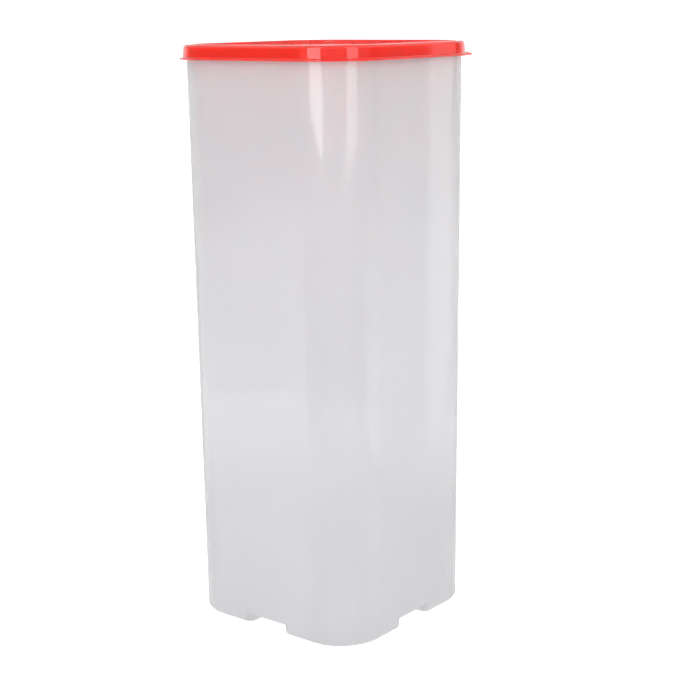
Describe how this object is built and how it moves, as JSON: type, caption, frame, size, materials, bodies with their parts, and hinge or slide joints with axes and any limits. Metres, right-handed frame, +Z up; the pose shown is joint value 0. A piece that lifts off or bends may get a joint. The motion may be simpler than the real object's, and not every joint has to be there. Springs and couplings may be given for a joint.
{
  "type": "bread box",
  "caption": "Tall square bread keeper: a milky plastic tower on moulded feet with rounded corners, and a press-on red lid with a thin lip and a corner pull tab.",
  "frame": {"origin": "centre of the base, on the surface that the feet stand on", "axes": "+Z up through the mouth; +X and +Y square to the two flat sides that meet at the corner with the pull tab"},
  "size_m": [0.1332, 0.1332, 0.328],
  "materials": {
    "container": "smooth, glossy, milky translucent polypropylene",
    "lid": "smooth, glossy, softly translucent red polyethylene"
  },
  "bodies": {
    "container": {"container": "container"},
    "lid": {"lid": "lid"}
  },
  "joints": [
    {"name": "lid_lift", "type": "slide", "parent": "container", "child": "lid", "axis": [0, 0, 1], "range_m": [0, 0.15]}
  ]
}
